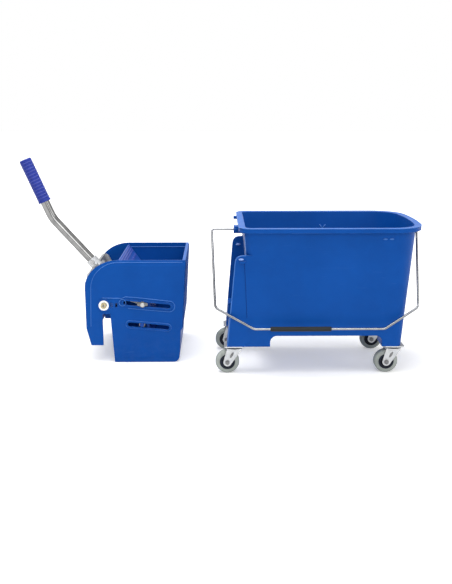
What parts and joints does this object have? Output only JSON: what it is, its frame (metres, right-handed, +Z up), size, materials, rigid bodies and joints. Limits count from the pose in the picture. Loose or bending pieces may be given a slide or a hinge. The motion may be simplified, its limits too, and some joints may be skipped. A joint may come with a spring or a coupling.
{
  "type": "mop bucket with wringer",
  "caption": "Wheeled plastic mop bucket with a swinging wire bail, and a hook-on lever wringer whose press plate squeezes the mop against its end wall",
  "frame": {"origin": "On the floor, under the middle of the whole set as it stands in the picture", "axes": "+X runs along the bucket from its straight end to its round end, +Y from the front to the back, +Z up"},
  "size_m": [0.8698, 0.3568, 0.4399],
  "materials": {
    "bucket_plastic": "satin moulded blue plastic",
    "press_plastic": "satin moulded lighter blue plastic",
    "grip_plastic": "soft satin blue plastic",
    "black_sleeve": "smooth black plastic",
    "chromed_wire": "bright plated wire",
    "chromed_tube": "bright plated tube",
    "bright_zinc": "bright zinc-plated pressed steel",
    "fastener_steel": "zinc-plated fasteners",
    "wheel_plastic": "dark grey moulded plastic",
    "grey_tyre": "non-marking grey rubber"
  },
  "bodies": {
    "bucket": {"tub": "bucket_plastic", "castor_plate_front_left": "bright_zinc", "castor_screws_front_left": "fastener_steel", "castor_plate_front_right": "bright_zinc", "castor_screws_front_right": "fastener_steel", "castor_plate_back_left": "bright_zinc", "castor_screws_back_left": "fastener_steel", "castor_plate_back_right": "bright_zinc", "castor_screws_back_right": "fastener_steel"},
    "bail": {"bail_wire": "chromed_wire"},
    "bail_sleeve": {"bail_grip": "black_sleeve"},
    "fork_front_left": {"castor_fork_front_left": "bright_zinc", "axle_bolt_front_left": "fastener_steel", "axle_nut_front_left": "fastener_steel"},
    "wheel_front_left": {"wheel_core_front_left": "wheel_plastic", "wheel_tyre_front_left": "grey_tyre"},
    "fork_front_right": {"castor_fork_front_right": "bright_zinc", "axle_bolt_front_right": "fastener_steel", "axle_nut_front_right": "fastener_steel"},
    "wheel_front_right": {"wheel_core_front_right": "wheel_plastic", "wheel_tyre_front_right": "grey_tyre"},
    "fork_back_left": {"castor_fork_back_left": "bright_zinc", "axle_bolt_back_left": "fastener_steel", "axle_nut_back_left": "fastener_steel"},
    "wheel_back_left": {"wheel_core_back_left": "wheel_plastic", "wheel_tyre_back_left": "grey_tyre"},
    "fork_back_right": {"castor_fork_back_right": "bright_zinc", "axle_bolt_back_right": "fastener_steel", "axle_nut_back_right": "fastener_steel"},
    "wheel_back_right": {"wheel_core_back_right": "wheel_plastic", "wheel_tyre_back_right": "grey_tyre"},
    "wringer": {"wringer_housing": "bucket_plastic", "pivot_screw_front": "fastener_steel", "pivot_washer_front": "fastener_steel", "pivot_nut_front": "fastener_steel", "pivot_screw_back": "fastener_steel", "pivot_washer_back": "fastener_steel", "pivot_nut_back": "fastener_steel"},
    "lever": {"lever_arm_front": "bright_zinc", "lever_arm_back": "bright_zinc", "lever_socket": "bright_zinc", "socket_bolt": "fastener_steel", "lever_tube": "chromed_tube", "lever_grip": "grip_plastic"},
    "press": {"press_plate": "press_plastic", "guide_pin_upper": "fastener_steel", "guide_pin_lower": "press_plastic", "guide_clips_upper": "fastener_steel", "guide_clips_lower": "fastener_steel", "push_bar_front": "bright_zinc", "push_bar_back": "bright_zinc", "drive_pin": "fastener_steel"}
  },
  "joints": [
    {"name": "bail_swing", "type": "hinge", "parent": "bucket", "child": "bail", "pos_m": [0.23678, -0.04127, 0.294], "axis": [-1, 0, 0], "range_deg": [0, 289]},
    {"name": "sleeve_turn", "type": "hinge", "parent": "bail", "child": "bail_sleeve", "pos_m": [0.17378, -0.17341, 0.1082], "axis": [1, 0, 0], "continuous": true},
    {"name": "castor_swivel_front_left", "type": "hinge", "parent": "bucket", "child": "fork_front_left", "pos_m": [0.03828, -0.12412, 0.05375], "axis": [0, 0, 1], "continuous": true},
    {"name": "wheel_spin_front_left", "type": "hinge", "parent": "fork_front_left", "child": "wheel_front_left", "pos_m": [0.02428, -0.12412, 0.025], "axis": [0, 1, 0], "continuous": true},
    {"name": "castor_swivel_front_right", "type": "hinge", "parent": "bucket", "child": "fork_front_right", "pos_m": [0.3744, -0.12412, 0.05375], "axis": [0, 0, 1], "continuous": true},
    {"name": "wheel_spin_front_right", "type": "hinge", "parent": "fork_front_right", "child": "wheel_front_right", "pos_m": [0.3604, -0.12412, 0.025], "axis": [0, 1, 0], "continuous": true},
    {"name": "castor_swivel_back_left", "type": "hinge", "parent": "bucket", "child": "fork_back_left", "pos_m": [0.03828, 0.04158, 0.05375], "axis": [0, 0, 1], "continuous": true},
    {"name": "wheel_spin_back_left", "type": "hinge", "parent": "fork_back_left", "child": "wheel_back_left", "pos_m": [0.02428, 0.04158, 0.025], "axis": [0, 1, 0], "continuous": true},
    {"name": "castor_swivel_back_right", "type": "hinge", "parent": "bucket", "child": "fork_back_right", "pos_m": [0.3744, 0.04158, 0.05375], "axis": [0, 0, 1], "continuous": true},
    {"name": "wheel_spin_back_right", "type": "hinge", "parent": "fork_back_right", "child": "wheel_back_right", "pos_m": [0.3604, 0.04158, 0.025], "axis": [0, 1, 0], "continuous": true},
    {"name": "wringer_lift", "type": "slide", "parent": "bucket", "child": "wringer", "axis": [0, 0, 1], "range_m": [0, 0.35]},
    {"name": "lever_swing", "type": "hinge", "parent": "wringer", "child": "lever", "pos_m": [-0.24322, 0.05673, 0.13], "axis": [0, 1, 0], "range_deg": [0, 60]},
    {"name": "press_slide", "type": "slide", "parent": "wringer", "child": "press", "axis": [0.9959, 0, -0.0906], "range_m": [0, 0.0445]}
  ],
  "couplings": [
    {"joint": "press_slide", "follows": "lever_swing", "m_per_rad": 0.04206}
  ]
}
